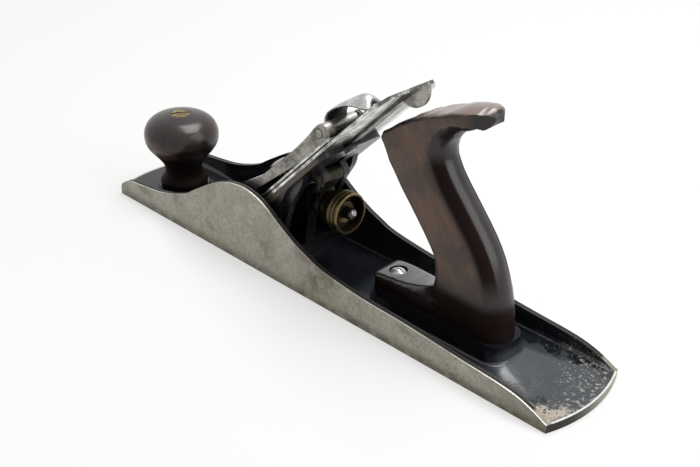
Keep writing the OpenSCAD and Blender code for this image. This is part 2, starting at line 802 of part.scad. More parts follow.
// The hollow under the shell, in a side view
module lever_hollow_view() {
  translate([0, -shell_t]) polygon(concat(
    [[23, 0]], [for (p = smooth(crown_line, 4)) if (p.x > 23 && p.x < web_u[0]) p], [[web_u[0], 0]]
  ));
}

module lever_cap() color(bare_iron) on_bed() difference() {
  intersection() {
    across(lever_w) lever_cap_side();
    linear_extrude(2 * lever_crown) lever_cap_plan(0, lever_end_u);
  }
  intersection() {
    across(lever_w) lever_hollow_view();
    linear_extrude(2 * lever_crown) lever_cap_plan(lever_wall, web_u[0]);
  }
  linear_extrude(2 * lever_crown) {
    translate([lever_screw_u - keyhole_l, 0]) circle(keyhole_r);
    long_hole(lever_screw_u - keyhole_l, lever_screw_u, 2 * lever_screw_r + 0.8);
  }
  translate([0, 0, lever_head_w - seat_gap]) linear_extrude(lever_crown)
    long_hole(lever_screw_u - keyhole_l, lever_screw_u, 2 * keyhole_r);
  translate([ear_root_u, -ear_w / 2, 0]) cube([lever_end_u, ear_w, 2 * lever_crown]);
  translate([web_u[1], -ear_w / 2, 0]) cube([lever_end_u, ear_w, spring_top + 3]);
  translate([web_u[0] - over, -ear_w / 2, 0]) cube([lever_end_u, ear_w, spring_top + seat_gap]);
  at_cam_pin() cylinder(r = cam_pin_r + seat_gap, h = lever_w, center = true);
}

module at_cam_pin() {
  translate([cam_u, 0, cam_out]) rotate([90, 0, 0]) children();
}

cam_mid = [136.6, 1.4];
cam_dome = 1.2;
cam_belly = 18;
hollow_mid = [141.6, 2.9];
cam_tip_w = 4.2;
// The thumb plate's back, a barrel on its side
module cam_barrel() {
  half = cam_plate_w / 2;
  dome_r = (half * half + cam_dome * cam_dome) / (2 * cam_dome);
  translate([cam_mid.x, 0, cam_mid.y]) rotate([90, 0, 0]) rotate_extrude() intersection() {
    translate([cam_back_r - dome_r, 0]) circle(dome_r);
    translate([0, -half]) square([cam_back_r, cam_plate_w]);
  }
}
// One half of the finger hollow, which rises from the middle to the side s
module cam_hollow(s) intersection() {
  translate([hollow_mid.x, 0, hollow_mid.y]) rotate([90 + s * cam_belly, 0, 0])
    cylinder(r = cam_hollow_r, h = 3 * cam_w, center = true);
  translate([cam_u, (s - 1) * cam_w, -2 * cam_back_r]) cube([3 * cam_back_r, 2 * cam_w, 4 * cam_back_r]);
}
module cam_plan() {
  round_u = cam_tip_u - cam_plate_w / 2;
  translate([cam_u, -cam_plate_w / 2]) square([round_u - cam_u, cam_plate_w]);
  translate([round_u, 0]) circle(cam_plate_w / 2);
}
module cam_lever() color(steel) on_bed() difference() {
  union() {
    at_cam_pin() cylinder(r = cam_r, h = cam_w, center = true);
    difference() {
      intersection() {
        cam_barrel();
        translate([0, 0, cam_tip_w]) linear_extrude(2 * lever_crown) cam_plan();
      }
      translate([0, -cam_w / 2, 0]) cube([hollow_mid.x, cam_w, cam_out - cam_r]);
      for (s = [-1, 1]) cam_hollow(s);
    }
  }
  at_cam_pin() cylinder(r = cam_pin_r + run_gap, h = lever_w, center = true);
}

module cam_pin() color(steel) on_bed()
  at_cam_pin() cylinder(r = cam_pin_r, h = lever_top_w + 0.4, center = true);

spring_w = 14;
spring_rivet_r = 1.6;
spring_rivet_head = 0.3;
web_mid = (web_u[0] + web_u[1]) / 2;
module lever_cap_spring() color(dark_steel) on_bed() translate([0, 0, spring_top - spring_t])
  linear_extrude(spring_t) difference() {
    translate([web_u[0], -spring_w / 2]) square([lever_end_u - 3 - web_u[0], spring_w]);
    translate([web_mid, 0]) circle(spring_rivet_r + seat_gap);
  }

module spring_rivet() color(dark_steel) on_bed()
  translate([web_mid, 0, spring_top - spring_t - seat_gap - spring_rivet_head]) {
    cylinder(r = spring_rivet_r, h = spring_t + spring_rivet_head + seat_gap);
    cylinder(r = spring_rivet_r + 0.8, h = spring_rivet_head);
  }

lever_head_h = 4.4;
module lever_cap_screw() color(steel) on_bed() translate([lever_screw_u, 0, 0]) {
  translate([0, 0, 2 - boss_l + seat_gap])
    cylinder(r = lever_screw_r, h = boss_l - 2 + lever_head_w + over);
  translate([0, 0, lever_head_w]) difference() {
    domed_pin(lever_head_r, lever_head_h, 1.6);
    translate([0, 0, lever_head_h]) cube([1.4, 2 * lever_head_r + over, 3], center = true);
  }
}

// Knob
knob_floor = knob_seat_z + seat_gap;
knob_top = knob_floor + knob_h;
nut_head_h = 1.6;
barrel_l = 14;
barrel_r = 4.6;
knob_line = smooth([
  [knob_foot_r - 1.1, 0], [knob_foot_r, 1.6], [knob_foot_r - 0.4, 4],
  [knob_neck_r + 0.9, 7], [knob_neck_r, 10.5], [knob_neck_r + 0.3, 13.5],
  [knob_neck_r + 1.9, 17], [knob_r - 6.8, knob_h * 0.434], [knob_r - 3.1, knob_h * 0.524],
  [knob_r - 0.7, knob_h * 0.615], [knob_r, knob_h * 0.706], [knob_r - 0.7, knob_h * 0.796],
  [knob_r - 3.4, knob_h * 0.887], [knob_r - 8.3, knob_h * 0.954], [9, knob_h - 0.3],
  [knob_nut_r, knob_h]
], 4);
module knob() color(rosewood) translate([knob_x, 0, knob_floor]) difference() {
  rotate_extrude() polygon(concat([[0, 0]], knob_line, [[0, knob_h]]));
  translate([0, 0, -over]) cylinder(r = rod_r + lift_gap, h = knob_h + 2 * over);
  translate([0, 0, knob_h - barrel_l]) cylinder(r = barrel_r + lift_gap, h = barrel_l + over);
  translate([0, 0, knob_h - nut_head_h]) cylinder(r = knob_nut_r + seat_gap, h = nut_head_h + over);
}

module knob_rod() color(dark_steel) translate([knob_x, 0, thread_floor + seat_gap])
  cylinder(r = rod_r, h = knob_top - thread_floor - 4);

// A slotted barrel nut, the rim of its head at Z = 0
module barrel_nut(head_r) {
  difference() {
    union() {
      translate([0, 0, -nut_head_h]) domed_pin(head_r, nut_head_h + 0.5, 0.6);
      translate([0, 0, lift_gap - barrel_l]) cylinder(r = barrel_r, h = barrel_l - lift_gap);
    }
    translate([0, 0, -barrel_l]) cylinder(r = rod_r + seat_gap, h = barrel_l - 2.5);
    cube([2 * head_r + over, 1.5, 3], center = true);
  }
}
module knob_nut() color(brass) translate([knob_x, 0, knob_top + seat_gap]) rotate([0, 0, 62])
  barrel_nut(knob_nut_r);

// Tote
rod_root = 12;
tote_floor = tote_seat_z + seat_gap;
tote_nut_r = 5.8;
tote_nut_at = 112;
round_steps = 5;
horn_l = 70.8;
// Outline of the tote from the front of its foot, up the grip and down its back: X from the
// front of the seat, Z from the top of the seat, and the radius of the edge at that place
tote_line = smooth([
  [1.2, -6, 4], [0, 1, 4], [1, 4.4, 3.5], [4.6, 7, 3.5], [12, 8.2, 4], [25, 9.2, 4],
  [36.6, 11.3, 4], [43.9, 15.2, 4], [46.3, 22.4, 4], [45, 33, 4], [41.2, 40, 4],
  [30.9, 53.3, 4], [20.3, 65.9, 3.5], [9.8, 78.7, 3], [4.1, 86.8, 2.5], [3.2, 89.8, 2],
  [5.6, 92.2, 2], [16.1, 99.5, 2.5], [23.5, 104.9, 2.5], [31.9, 110.2, 2.5], [41, 114.2, 2.4],
  [52.6, 117.4, 2.2], [62, 119.9, 1.8], [67.6, 121.1, 1.5], [70.4, 119.6, 1.8], [69.2, 115.2, 2.4],
  [62.6, 110.2, 5], [54.1, 104.9, 7.5], [47.4, 99.2, 9.5], [44.8, 91.6, 10.5], [46.9, 84.9, 11],
  [53.1, 75.9, 11], [63.6, 63.3, 11], [72.5, 52.2, 11], [79.2, 40.8, 11], [84.8, 26.2, 11],
  [87.7, 15, 11], [89.6, 4, 11], [90.8, -6, 11]
], 2);
tote_pts = len(tote_line);

function tote_inward(i) =
  let (d = tote_line[min(i + 1, tote_pts - 1)] - tote_line[max(i - 1, 0)])
  [d.y, -d.x] / norm([d.x, d.y]);
function tote_ring(turn, side) = [
  for (i = [0 : tote_pts - 1])
    let (p = tote_line[i], in = tote_inward(i) * p.z * (1 - cos(turn)))
    [p.x + in.x, side * (tote_t / 2 - p.z * (1 - sin(turn))), p.y + in.y]
];
tote_rings = concat(
  [for (k = [round_steps : -1 : 0]) tote_ring(90 * k / round_steps, -1)],
  [for (k = [0 : round_steps]) tote_ring(90 * k / round_steps, 1)]
);
function ring_faces(j) = [
  for (i = [0 : tote_pts - 1])
    let (a = j * tote_pts, n = (i + 1) % tote_pts)
    each [
      [a + i, a + tote_pts + i, a + tote_pts + n],
      [a + i, a + tote_pts + n, a + n]
    ]
];

// Triangles that fill a flat side, by their places in a ring: a fan over the foot, rungs up
// the grip, a fan under the nose, and rungs out to the tip of the horn
foot_rear = tote_pts - 3;
foot_top_i = 12;
nose_i = 28;
hollow_i = 58;
crest_i = 38;
horn_i = 48;
function fan(at, ring) = [for (i = [0 : len(ring) - 2]) [at, ring[i], ring[i + 1]]];
function rungs(from, to, sum) = [
  for (i = [from : to - 1]) let (j = sum - i) each [[i, i + 1, j - 1], [i, j - 1, j]]
];
flat_side = concat(
  fan(foot_rear, [foot_rear + 1, foot_rear + 2, each [0 : foot_top_i]]),
  rungs(foot_top_i, nose_i, foot_rear + foot_top_i),
  fan(hollow_i, [each [nose_i : crest_i]]),
  rungs(crest_i, horn_i - 1, 2 * horn_i),
  [[horn_i - 1, horn_i, horn_i + 1]]
);

module tote_blank() {
  last = len(tote_rings) - 1;
  polyhedron(
    points = [for (ring = tote_rings) each ring],
    faces = concat(
      flat_side,
      [for (j = [0 : last - 1]) each ring_faces(j)],
      [for (t = flat_side) [for (k = [2 : -1 : 0]) last * tote_pts + t[k]]]
    )
  );
}

module on_tote_rod() {
  translate([tote_x + tote_rod_dx, 0, tote_seat_z]) rotate([0, -tote_rod_tilt, 0]) children();
}

// What the round front of the foot takes off the blank
module foot_corners() {
  r = tote_t / 2 + 0.5;
  difference() {
    translate([-over, -tote_t, 0]) cube([r + over, 2 * tote_t, tote_seat_z + 12]);
    translate([r, 0, -over]) cylinder(r = r, h = tote_seat_z + 14);
  }
}

toe_head_r = 4;
toe_bore_r = 4.7;
toe_head_z = 5;
// What the round end of the horn leaves of its corners
module horn_corners() {
  r = tote_t / 2 + 0.2;
  translate([tote_x + horn_l - r, 0, tote_seat_z + 103]) difference() {
    translate([0, -2 * r, 0]) cube([2 * r, 4 * r, 2 * r]);
    translate([0, 0, -over]) cylinder(r = r, h = 2 * r + 2 * over);
  }
}
module tote() color(rosewood) difference() {
  translate([tote_x, 0, tote_seat_z]) tote_blank();
  horn_corners();
  translate([tote_x - over, -tote_t, 0]) cube([tote_seat_l + 2 * over, 2 * tote_t, tote_floor]);
  translate([tote_x, 0, 0]) foot_corners();
  on_tote_rod() translate([0, 0, -rod_root])
    cylinder(r = rod_r + lift_gap, h = rod_root + tote_nut_at);
  on_tote_rod() translate([0, 0, tote_nut_at - barrel_l])
    cylinder(r = barrel_r + lift_gap, h = barrel_l);
  on_tote_rod() translate([0, 0, tote_nut_at - nut_head_h])
    cylinder(r = tote_nut_r + seat_gap, h = barrel_l);
  translate([tote_x + toe_screw_dx, 0, 0])
    cylinder(r = toe_screw_r + lift_gap, h = tote_seat_z + 9);
  translate([tote_x + toe_screw_dx, 0, tote_seat_z + toe_head_z]) cylinder(r = toe_bore_r, h = 8);
}

module tote_rod() color(dark_steel) on_tote_rod()
  translate([0, 0, seat_gap - rod_root]) cylinder(r = rod_r, h = rod_root + tote_nut_at - 4);

module tote_nut() color(brass) on_tote_rod() translate([0, 0, tote_nut_at + seat_gap])
  barrel_nut(tote_nut_r);

module tote_toe_screw() color(steel) translate([tote_x + toe_screw_dx, 0, 0]) {
  head_z = tote_seat_z + toe_head_z + seat_gap;
  translate([0, 0, thread_floor + seat_gap]) cylinder(r = toe_screw_r, h = head_z - thread_floor);
  translate([0, 0, head_z]) difference() {
    domed_pin(toe_head_r, 2.6, 1.4);
    translate([0, 0, 2.6]) cube([2 * toe_head_r + over, 0.9, 2], center = true);
  }
}

body_casting();
frog();
frog_screws();
frog_washers();
adjusting_stud();
adjusting_nut();
yoke();
yoke_pin();
lateral_lever();
lateral_thumb_piece();
lateral_rivet();
lateral_roller();
plane_iron();
cap_iron();
cap_iron_screw();
lever_cap();
lever_cap_screw();
cam_lever();
cam_pin();
lever_cap_spring();
spring_rivet();
knob();
knob_rod();
knob_nut();
tote();
tote_rod();
tote_nut();
tote_toe_screw();
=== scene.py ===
import math

import bmesh
import bpy
from mathutils import Matrix, Vector


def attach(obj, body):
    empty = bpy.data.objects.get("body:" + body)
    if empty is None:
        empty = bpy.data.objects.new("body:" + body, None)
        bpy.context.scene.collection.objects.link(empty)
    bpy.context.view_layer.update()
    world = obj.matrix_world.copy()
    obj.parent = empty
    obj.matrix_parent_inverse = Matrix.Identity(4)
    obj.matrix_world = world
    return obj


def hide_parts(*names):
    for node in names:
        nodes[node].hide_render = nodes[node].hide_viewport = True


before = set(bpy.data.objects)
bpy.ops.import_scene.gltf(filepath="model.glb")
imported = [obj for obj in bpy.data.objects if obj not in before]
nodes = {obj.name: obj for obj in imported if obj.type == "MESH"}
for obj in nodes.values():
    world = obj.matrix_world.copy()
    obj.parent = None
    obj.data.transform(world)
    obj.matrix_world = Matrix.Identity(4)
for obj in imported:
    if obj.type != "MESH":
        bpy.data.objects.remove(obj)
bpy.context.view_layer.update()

MM = 0.001

# Body casting
# One grey iron casting: a long sole with a low cheek on each side. Its sole, cheeks and rims are
# ground, and everything inside is coated with black japan, baked on and chipped with age.


class Finish:
    """A surface finish of procedural nodes, laid out in the piece's own place."""

    def __init__(self, name, **sockets):
        self.material = bpy.data.materials.new(name)
        self.material.use_nodes = True
        self.tree = self.material.node_tree
        self.shader = self.tree.nodes["Principled BSDF"]
        coordinates = self.node("ShaderNodeTexCoord")
        self.place = coordinates.outputs["Object"]
        self.outward = coordinates.outputs["Normal"]
        self.x, self.y, self.z = (self.along(way) for way in ((1, 0, 0), (0, 1, 0), (0, 0, 1)))
        for key, value in sockets.items():
            self.shader.inputs[key.replace("_", " ")].default_value = value

    def node(self, kind, **settings):
        made = self.tree.nodes.new(kind)
        for key, value in settings.items():
            setattr(made, key, value)
        return made

    def feed(self, socket, value):
        if isinstance(value, bpy.types.NodeSocket):
            self.tree.links.new(value, socket)
        elif isinstance(value, tuple) and len(value) == 3 and socket.type == "RGBA":
            socket.default_value = (*value, 1)
        else:
            socket.default_value = value

    def math(self, operation, a, b=0.0):
        made = self.node("ShaderNodeMath", operation=operation)
        self.feed(made.inputs[0], a)
        self.feed(made.inputs[1], b)
        return made.outputs[0]

    def both(self, a, b):
        return self.math("MULTIPLY", a, b)

    def either(self, a, b):
        return self.math("MAXIMUM", a, b)

    def less(self, value):
        return self.math("SUBTRACT", 1.0, value)

    def along(self, way, start=0.0):
        """How many millimetres a point lies along a direction, from a starting distance."""
        made = self.node("ShaderNodeVectorMath", operation="DOT_PRODUCT")
        self.feed(made.inputs[0], self.place)
        made.inputs[1].default_value = [part / MM for part in way]
        return self.math("SUBTRACT", made.outputs["Value"], start)

    def facing(self, way):
        made = self.node("ShaderNodeVectorMath", operation="DOT_PRODUCT")
        self.feed(made.inputs[0], self.outward)
        made.inputs[1].default_value = way
        return made.outputs["Value"]

    def away(self, spot):
        """How many millimetres a point lies from a spot."""
        made = self.node("ShaderNodeVectorMath", operation="DISTANCE")
        self.feed(made.inputs[0], self.place)
        made.inputs[1].default_value = [part * MM for part in spot]
        return self.math("MULTIPLY", made.outputs["Value"], 1 / MM)

    def stretched(self, squeeze, turn=(0, 0, 0)):
        """The piece's place, turned first and then squeezed, so lumps grow long one way."""
        mapping = self.node("ShaderNodeMapping", vector_type="TEXTURE")
        self.feed(mapping.inputs["Vector"], self.place)
        mapping.inputs["Rotation"].default_value = turn
        mapping.inputs["Scale"].default_value = [1 / share for share in squeeze]
        return mapping.outputs[0]

    def cloud(self, size, detail=4, roughness=0.55, squeeze=(1, 1, 1), turn=(0, 0, 0), swirl=0.0):
        """Noise whose lumps are about this many millimetres across."""
        made = self.node("ShaderNodeTexNoise")
        self.feed(made.inputs["Vector"], self.stretched(squeeze, turn))
        made.inputs["Scale"].default_value = 1 / (size * MM)
        made.inputs["Detail"].default_value = detail
        made.inputs["Roughness"].default_value = roughness
        made.inputs["Distortion"].default_value = swirl
        return made.outputs["Fac"]

    def cells(self, size, squeeze=(1, 1, 1)):
        """Distance to the nearest of scattered points, about this many millimetres apart."""
        made = self.node("ShaderNodeTexVoronoi")
        self.feed(made.inputs["Vector"], self.stretched(squeeze))
        made.inputs["Scale"].default_value = 1 / (size * MM)
        return made.outputs["Distance"]

    def between(self, value, low, high, to_low=0.0, to_high=1.0):
        made = self.node("ShaderNodeMapRange", interpolation_type="SMOOTHSTEP")
        self.feed(made.inputs["Value"], value)
        limits = (("From Min", low), ("From Max", high), ("To Min", to_low), ("To Max", to_high))
        for key, limit in limits:
            made.inputs[key].default_value = limit
        return made.outputs["Result"]

    def blend(self, share, a, b):
        made = self.node("ShaderNodeMix", data_type="RGBA")
        self.feed(made.inputs["Factor"], share)
        self.feed(made.inputs[6], a)
        self.feed(made.inputs[7], b)
        return made.outputs[2]

    def level(self, share, a, b):
        made = self.node("ShaderNodeMix", data_type="FLOAT")
        self.feed(made.inputs[0], share)
        self.feed(made.inputs[2], a)
        self.feed(made.inputs[3], b)
        return made.outputs[0]

    def relief(self, *layers):
        """Bump from (height, strength, depth in millimetres) layers."""
        under = None
        for height, strength, depth in layers:
            made = self.node("ShaderNodeBump")
            made.inputs["Strength"].default_value = strength
            made.inputs["Distance"].default_value = depth * MM
            self.feed(made.inputs["Height"], height)
            if under is not None:
                self.feed(made.inputs["Normal"], under)
            under = made.outputs[0]
        self.feed(self.shader.inputs["Normal"], under)

    def wear(self, colour, roughness, metallic=None, polish=None, coat=None):
        sockets = (
            ("Base Color", colour), ("Roughness", roughness), ("Metallic", metallic),
            ("Specular IOR Level", polish), ("Coat Weight", coat),
        )
        for key, value in sockets:
            if value is not None:
                self.feed(self.shader.inputs[key], value)


def eased_edges():
    """A node group that joins the faces of a CAD node and shades shallow edges smooth."""
    group = bpy.data.node_groups.new("eased_edges", "GeometryNodeTree")
    group.interface.new_socket("Geometry", in_out="INPUT", socket_type="NodeSocketGeometry")
    angle = group.interface.new_socket("Angle", in_out="INPUT", socket_type="NodeSocketFloat")
    angle.default_value = math.radians(32)
    group.interface.new_socket("Geometry", in_out="OUTPUT", socket_type="NodeSocketGeometry")
    made = {
        name: group.nodes.new(kind)
        for name, kind in (
            ("start", "NodeGroupInput"), ("forget", "GeometryNodeRemoveAttribute"),
            ("weld", "GeometryNodeMergeByDistance"), ("edge", "GeometryNodeInputMeshEdgeAngle"),
            ("steep", "FunctionNodeCompare"), ("smooth", "GeometryNodeSetShadeSmooth"),
            ("crisp", "GeometryNodeSetShadeSmooth"), ("end", "NodeGroupOutput"),
        )
    }
    made["forget"].inputs["Name"].default_value = "custom_normal"
    made["weld"].inputs["Distance"].default_value = 0.004 * MM
    made["steep"].operation = "GREATER_THAN"
    made["crisp"].domain = "EDGE"
    made["crisp"].inputs["Shade Smooth"].default_value = False
    link = group.links.new
    link(made["start"].outputs[0], made["forget"].inputs["Geometry"])
    link(made["forget"].outputs[0], made["weld"].inputs["Geometry"])
    link(made["weld"].outputs[0], made["smooth"].inputs["Geometry"])
    link(made["smooth"].outputs[0], made["crisp"].inputs["Geometry"])
    link(made["edge"].outputs["Unsigned Angle"], made["steep"].inputs[0])
    link(made["start"].outputs[1], made["steep"].inputs[1])
    link(made["steep"].outputs[0], made["crisp"].inputs["Selection"])
    link(made["crisp"].outputs[0], made["end"].inputs[0])
    return group


EASED = eased_edges()


def dress_piece(node, finish, edge=0.2, segments=2):
    """Gives a piece its finish, smooth shading and edges broken by so many millimetres."""
    node.data.materials.clear()
    node.data.materials.append(finish.material)
    for polygon in node.data.polygons:
        polygon.material_index = 0
    smooth = node.modifiers.new("eased_edges", "NODES")
    smooth.node_group = EASED
    if edge:
        bevel = node.modifiers.new("broken_edges", "BEVEL")
        bevel.width = edge * MM
        bevel.segments = segments
        bevel.limit_method = "ANGLE"
        bevel.angle_limit = math.radians(40)
        bevel.harden_normals = True


def dress(name, finish, edge=0.2, segments=2):
    dress_piece(nodes[name], finish, edge, segments)


def ground_iron():
    f = Finish("ground_iron_and_japan", IOR=1.5)
    width = f.math("ABSOLUTE", f.y)
    height, length = f.z, f.x
    mottle = f.cloud(8, 6, 0.66)
    speck = f.cloud(1.3, 5, 0.78)
    scratch = f.cloud(1.6, 4, 0.7, (0.08, 1, 1))
    stain = f.both(f.between(f.cloud(17, 6, 0.66), 0.5, 0.66), f.between(mottle, 0.4, 0.58))
    bare = f.blend(mottle, (0.2, 0.184, 0.145), (0.43, 0.41, 0.345))
    bare = f.blend(f.both(f.between(speck, 0.5, 0.68), 0.8), bare, (0.42, 0.405, 0.355))
    bare = f.blend(f.both(f.between(speck, 0.5, 0.34), 0.42), bare, (0.11, 0.098, 0.075))
    bare = f.blend(f.both(stain, 0.6), bare, (0.12, 0.1, 0.075))
    dots = f.both(f.between(f.cells(3.1), 0.2, 0.1), f.between(f.cloud(14, 3), 0.5, 0.62))
    bare = f.blend(f.both(dots, 0.75), bare, (0.06, 0.042, 0.028))
    grime = f.both(f.between(height, 8, 0.3), f.between(mottle, 0.25, 0.6))
    bare = f.blend(f.both(grime, 0.8), bare, (0.075, 0.058, 0.04))
    shaded = f.both(f.between(length, 118, 166), f.between(height, 26, 12))
    hump_stain = f.both(f.between(f.away((18, -31.75, 22)), 24, 6), f.between(mottle, 0.38, 0.56))
    bare = f.blend(f.either(f.both(shaded, 0.42), f.both(hump_stain, 0.7)), bare, (0.1, 0.083, 0.058))

    inside = f.both(f.between(width, 28.8, 28.55), f.between(height, 1.2, 1.5))
    from_arris = f.math("SUBTRACT", width, f.between(f.y, -1, 1, 30.9, 31.5))
    top_land = f.both(f.between(from_arris, 0.2, -0.2), f.between(f.facing((0, 0, 1)), 0.3, 0.45))
    land = f.both(f.less(inside), f.both(top_land, f.between(height, 8, 9)))
    bare = f.blend(f.both(land, 0.95), bare, (0.014, 0.013, 0.012))

    # The rounded outer arris on top of each cheek is painted pale: a painted highlight.
    arris_highlight = f.both(f.between(width, 31.1, 31.4), f.between(f.facing((0, 0, 1)), 0.3, 0.6))
    bare = f.blend(f.both(arris_highlight, 0.9), bare, (0.8, 0.8, 0.82))

    bow = f.both(f.both(f.y, f.y), 0.0062)
    from_heel = f.math("SUBTRACT", 177.8, f.math("ADD", length, bow))
    from_toe = f.math("SUBTRACT", f.math("SUBTRACT", length, bow), -177.8)
    rim = f.either(f.between(from_heel, 1.3, 0.9), f.between(from_toe, 1.5, 1.1))
    flakes = f.cloud(1.9, 5, 0.7)
    share = f.between(f.math("ADD", from_heel, f.both(f.y, -0.45)), 52, 0, 0.705, 0.56)
    chipped = f.between(f.math("SUBTRACT", flakes, share), 0.0, 0.02)
    patch = f.math("SUBTRACT", f.away((173, -29, 5)), f.both(f.cloud(9, 5, 0.7), 20))
    rusty = f.both(f.between(patch, 7, 2), f.between(flakes, 0.42, 0.52))
    worn = f.either(f.either(f.both(chipped, 0.75), rusty), rim)
    japan = f.both(inside, f.less(worn))
    rust = f.blend(flakes, (0.17, 0.125, 0.09), (0.42, 0.38, 0.33))
    flecked = f.blend(rusty, (0.34, 0.335, 0.3), rust)
    flecked = f.blend(rim, flecked, (0.5, 0.5, 0.48))
    end = f.both(f.between(f.facing((1, 0, 0)), 0.5, 0.8), f.between(length, 165, 168))
    pad_top = f.both(f.between(length, 20, 30), f.both(f.between(height, 11, 14), f.between(width, 16, 15)))
    stained_end = f.blend(f.between(f.y, -20, 14), (0.03, 0.028, 0.024), (0.24, 0.225, 0.19))
    bared = f.blend(end, f.blend(inside, bare, flecked), stained_end)
    coat = f.blend(f.cloud(26, 3), (0.004, 0.0048, 0.0065), (0.012, 0.0135, 0.017))
    # Where light falls on the japan low in the bed, a pale bluish painted sheen is laid on in dusty patches.
    patchy = f.between(f.math("ADD", f.cloud(10, 5, 0.7), f.between(width, 10, 26, 0.12, -0.1)), 0.42, 0.5)
    lit = f.either(f.between(length, 118, 130), f.both(f.between(length, 20, 34), f.between(length, 60, 48)))
    dust_and_sheen = f.both(f.both(lit, patchy), f.between(height, 12, 9))
    coat = f.blend(dust_and_sheen, coat, (0.036, 0.041, 0.047))
    drips = f.between(f.cloud(11, 4, 0.6), 0.35, 0.6)
    f.wear(
        colour=f.blend(japan, bared, coat),
        metallic=f.level(japan, f.level(f.either(land, end), 0.72, 0.0), 0.0),
        roughness=f.level(japan, f.between(mottle, 0.3, 0.7, 0.5, 0.36), f.level(drips, 0.1, 0.2)),
        polish=f.level(f.either(f.either(land, end), pad_top), 0.5, 0.1),
    )
    pits = f.between(f.cells(2.2), 0.08, 0.4)
    sag = f.math("ADD", f.both(pits, 0.35), f.both(f.cloud(4.2, 3), 1.1))
    skin = f.level(inside, f.both(f.math("ADD", scratch, speck), 0.35), sag)
    f.relief((skin, 0.42, 0.12), (f.less(f.both(inside, worn)), 0.5, 0.12))
    return f


dress("body_casting", ground_iron(), edge=0.35)

# Frog
# A japanned iron wedge with a machined face for the irons, held down on the bed by two round
# screws with washers, through slots that let it be moved to set the mouth.
BED_UP = (math.sqrt(0.5), 0, math.sqrt(0.5))
BED_OUT = (-math.sqrt(0.5), 0, math.sqrt(0.5))
BED_FROM_SOLE = 77.9 * math.sqrt(0.5)
BED_TURN = (0, math.radians(-45), 0)


def on_bed(up, across, out):
    """A spot given along, across and out from the bed that the irons lie on, in metres."""
    return Vector((-77.9 + (up - out) * math.sqrt(0.5), across, (up + out) * math.sqrt(0.5))) * MM


def frog_iron():
    f = Finish("japanned_frog", IOR=1.5)
    speck = f.cloud(1.3, 4, 0.7)
    out = f.along(BED_OUT, BED_FROM_SOLE)
    plate = f.between(out, -3.4, -3.0)
    sides = f.both(plate, f.between(f.math("ABSOLUTE", f.y), 24.0, 24.4))
    ground = f.either(sides, f.between(out, -0.45, -0.2))
    metal = f.blend(speck, (0.055, 0.047, 0.037), (0.21, 0.195, 0.165))
    # Low down on the frog the ground metal is painted darker and browner: a painted shade.
    low_shade = f.between(f.along(BED_UP, 77.9 * math.sqrt(0.5)), 62, 40)
    metal = f.blend(f.both(low_shade, 0.7), metal, (0.075, 0.06, 0.044))
    boss = f.both(f.between(f.facing((0, -1, 0)), 0.6, 0.9), f.between(f.away((-4.4, -12, 63.6)), 7.5, 5.5))
    rubbed = f.both(boss, f.between(speck, 0.42, 0.6))
    coat = f.blend(f.cloud(18, 3), (0.0035, 0.0038, 0.0048), (0.0085, 0.009, 0.0105))
    coat = f.blend(f.both(rubbed, 0.7), coat, (0.09, 0.08, 0.068))
    f.wear(
        colour=f.blend(ground, coat, metal),
        metallic=f.both(ground, 0.75),
        roughness=f.level(ground, f.between(speck, 0.3, 0.7, 0.2, 0.4), 0.46),
    )
    f.relief((f.cloud(3.2, 4), 0.4, 0.15))
    return f


dress("frog", frog_iron(), edge=0.3)


def aged_steel(name, dark, pale, rough=0.36, grain=(0.08, 1, 1), turn=(0, 0, 0), stripe=0.0, seam_shade=False):
    """Steel that was ground one way and has since dulled, with dull stripes along the grain."""
    f = Finish(name, Metallic=0.92)
    brushed = f.cloud(0.6, 3, 0.6, grain, turn)
    cloudy = f.cloud(7, 5, 0.62)
    tone = f.math("ADD", f.both(brushed, 0.42), f.both(cloudy, 0.58))
    metal = f.blend(f.between(tone, 0.36, 0.64), dark, pale)
    freckle = f.between(f.cloud(1.3, 5, 0.72), 0.6, 0.68)
    metal = f.blend(f.both(freckle, 0.55), metal, (0.055, 0.047, 0.038))
    if stripe:
        dull = f.between(f.cloud(6, 3, 0.6, (grain[0] * 0.4, 1, 1), turn), 0.46, 0.56)
        metal = f.blend(f.both(dull, stripe), metal, (0.075, 0.07, 0.06))
    if seam_shade:
        # On the side edges of the irons, the seam between plane iron and cap iron and the strip along the plane
        # iron's back are painted near black: painted shade.
        out = f.along(BED_OUT, BED_FROM_SOLE)
        joint_shade = f.both(f.between(out, 1.45, 1.7), f.between(out, 2.6, 2.35))
        upper = f.between(f.along(BED_UP, 77.9 * math.sqrt(0.5)), 118, 128)
        under_shade = f.both(upper, f.between(out, 0.5, 0.3))
        side = f.between(f.math("ABSOLUTE", f.y), 25.05, 25.25)
        metal = f.blend(f.both(side, f.either(joint_shade, under_shade)), metal, (0.014, 0.012, 0.01))
    f.wear(
        colour=metal,
        roughness=f.between(cloudy, 0.3, 0.7, rough + 0.1, rough - 0.08),
    )
    f.relief((brushed, 0.18, 0.05), (f.cloud(1.8, 3), 0.12, 0.08))
    return f


SCREW_STEEL = aged_steel("aged_screw_steel", (0.07, 0.06, 0.05), (0.26, 0.245, 0.22), 0.38)
dress("frog_screws", SCREW_STEEL, edge=0.15)
dress("frog_washers", SCREW_STEEL, edge=0.12)

# Depth adjustment
# A brass nut runs on a left-hand threaded steel stud. A forked iron yoke hangs on a pin between
# the frog's lugs, sits in the nut's groove, and pushes the double iron up or down.
NUT_WAY = (0.99862953, 0, 0.05233596)
NUT_RIM = (11.25, 0, 43.74)


def round_nut(f):
    """How far along the stud and how far out from it a point lies, in millimetres."""
    start = sum(a * b for a, b in zip(NUT_WAY, NUT_RIM))
    back = f.along(NUT_WAY, start)
    out = f.away(NUT_RIM)
    square = f.math("SUBTRACT", f.both(out, out), f.both(back, back))
    return back, f.math("SQRT", f.either(square, 0.0))


